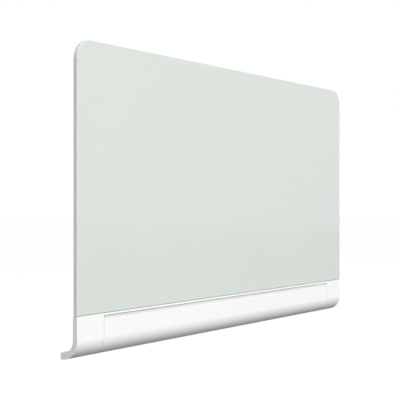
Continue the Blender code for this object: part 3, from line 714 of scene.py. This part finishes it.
def build_tray_ends():
    """Hollow J-shaped covers, open towards the door."""
    outer = HALF_WIDTH
    inner = HALF_WIDTH - COVER_LENGTH
    for label, side in (("left", -1), ("right", 1)):
        hollow = bar_mesh(j_section(COVER_WALL), side * (outer - COVER_WALL), side * (inner - COVER_WALL))
        bar = bar_mesh(j_section(0.0), side * outer, side * inner)
        screw = middle(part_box("cover_screw_" + label))
        place = Vector((screw.x, FRONT_Y + LEG_THICKNESS, screw.z))
        hole = rod_mesh(place, BACKWARD, SCREW_HOLE_RADIUS, 2 * COVER_WALL)
        make_piece("tray_end_" + label, bar, [hollow, hole], "board", "white_satin",
                   ["end_cover_" + label], COVER_EDGE)


def build_tray_rails():
    """Lip rail over the door and the back rail behind it, with their screw holes and joiner slots."""
    lip = bar_mesh(lip_section(), LIP_LOW.x, LIP_HIGH.x)
    back = bar_mesh(back_section(), BACK_LOW.x, BACK_HIGH.x)
    lip_holes = []
    back_holes = []
    for number in (1, 2, 3):
        shelf_screw = middle(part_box(f"shelf_screw_{number}"))
        lip_holes.append(rod_mesh(shelf_screw, DOWN, SCREW_HOLE_RADIUS, HOLE_REACH))
        rail_screw = middle(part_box(f"rail_screw_{number}"))
        for holes in (lip_holes, back_holes):
            holes.append(rod_mesh(rail_screw, BACKWARD, SCREW_HOLE_RADIUS, HOLE_REACH))
    for x in WALL_HOLE_X:
        place = Vector((x, *at(WEB_FRONT, WALL_HOLE_DROP)))
        back_holes.append(rod_mesh(place, BACKWARD, WALL_HOLE_RADIUS, HOLE_REACH))
    margin = Vector((GAP, GAP, GAP))
    for label in ("left", "right"):
        low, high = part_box("joiner_bar_" + label)
        back_holes.append(box_mesh(low - margin, high + margin))
    make_piece("tray_lip", lip, lip_holes, "board", "white_satin", ["lip_rail"], LIP_EDGE)
    make_piece("tray_back", back, back_holes, "board", "white_satin", ["back_rail"], THIN_EDGE)


def build_tray_door():
    """The flip-down door, bored at its ends for the hinge bushes."""
    door = bar_mesh(door_section(), DOOR_LOW.x, DOOR_HIGH.x)
    bores = []
    for x in (DOOR_LOW.x, DOOR_HIGH.x):
        end = Vector((x, *at(*HINGE)))
        bores.append(rod_mesh(end, ALONG, BUSH_RADIUS + GAP, 2 * (BUSH_LENGTH + GAP)))
    make_piece("flip_down_door", door, bores, "door", "white_satin", ["tray_door"], THIN_EDGE)


build_glass()
build_tray_ends()
build_tray_rails()
build_tray_door()


# ---------------------------------------------------------------- studio


def build_floor():
    """Plain pale floor, well below the hung board and large enough to reach the horizon."""
    bm = bmesh.new()
    bmesh.ops.create_grid(bm, x_segments=FLOOR_CELLS, y_segments=FLOOR_CELLS, size=FLOOR_HALF)
    bmesh.ops.translate(bm, verts=bm.verts, vec=(0, 0, FLOOR_Z))
    floor = new_object("studio_floor", bm)
    pale = Nodes("studio_floor", FLOOR_BASE, FLOOR_ROUGHNESS, specular=0.0)
    pale.colour(pale.ramp(pale.noise(scale=3.0, detail=2.0), [(0.3, FLOOR_DARK), (0.7, FLOOR_PALE)]))
    pale.shader.inputs["Emission Color"].default_value = WHITE
    pale.shader.inputs["Emission Strength"].default_value = FLOOR_GLOW
    floor.data.materials.append(pale.material)
    floor.visible_diffuse = False
    floor.visible_glossy = False


def build_world():
    """White surroundings for the camera.

    For everything else: a soft sky, darker straight above, a dimmer ground and less light from far +X.
    """
    world = bpy.data.worlds.new("studio")
    bpy.context.scene.world = world
    world.use_nodes = True
    nodes = world.node_tree.nodes
    links = world.node_tree.links
    nodes.clear()
    direction = nodes.new("ShaderNodeTexCoord")
    split = nodes.new("ShaderNodeSeparateXYZ")
    links.new(direction.outputs["Generated"], split.inputs["Vector"])
    product = nodes.new("ShaderNodeMix")
    product.data_type = "RGBA"
    product.blend_type = "MULTIPLY"
    product.inputs["Factor"].default_value = 1.0
    for operand, axis, levels in (("A", "Z", SKY_LEVELS), ("B", "X", SIDE_LEVELS)):
        spread = nodes.new("ShaderNodeMapRange")
        spread.inputs["From Min"].default_value = -1.0
        spread.inputs["From Max"].default_value = 1.0
        links.new(split.outputs[axis], spread.inputs["Value"])
        ramp = nodes.new("ShaderNodeValToRGB")
        fill_ramp(ramp.color_ramp, [((reach + 1) / 2, light) for reach, light in levels])
        links.new(spread.outputs["Result"], ramp.inputs["Fac"])
        links.new(ramp.outputs["Color"], product.inputs[operand])
    around = nodes.new("ShaderNodeBackground")
    links.new(product.outputs["Result"], around.inputs["Color"])
    plain = nodes.new("ShaderNodeBackground")
    plain.inputs["Color"].default_value = WHITE
    path = nodes.new("ShaderNodeLightPath")
    mix = nodes.new("ShaderNodeMixShader")
    camera_share, for_others, for_camera = mix.inputs
    links.new(path.outputs["Is Camera Ray"], camera_share)
    links.new(around.outputs["Background"], for_others)
    links.new(plain.outputs["Background"], for_camera)
    output = nodes.new("ShaderNodeOutputWorld")
    links.new(mix.outputs["Shader"], output.inputs["Surface"])


def build_key():
    """Large rectangular lamp that faces the board."""
    data = bpy.data.lights.new("key", "AREA")
    data.shape = "RECTANGLE"
    data.size, data.size_y = KEY_SIZE
    data.energy = KEY_POWER
    lamp = bpy.data.objects.new("key", data)
    bpy.context.scene.collection.objects.link(lamp)
    lamp.location = KEY_PLACE
    lamp.rotation_euler = (Vector(KEY_TARGET) - Vector(KEY_PLACE)).to_track_quat("-Z", "Y").to_euler()


def build_camera():
    """Camera that looks at the board from its front left."""
    data = bpy.data.cameras.new("camera")
    data.lens = CAMERA_LENS
    data.sensor_width = CAMERA_SENSOR
    data.shift_y = CAMERA_SHIFT_Y
    data.clip_end = CAMERA_REACH
    camera = bpy.data.objects.new("camera", data)
    bpy.context.scene.collection.objects.link(camera)
    camera.location = CAMERA_PLACE
    camera.rotation_euler = Vector(CAMERA_FORWARD).to_track_quat("-Z", "Y").to_euler()
    bpy.context.scene.camera = camera


bpy.context.scene.view_settings.view_transform = "Standard"
build_floor()
build_world()
build_key()
build_camera()
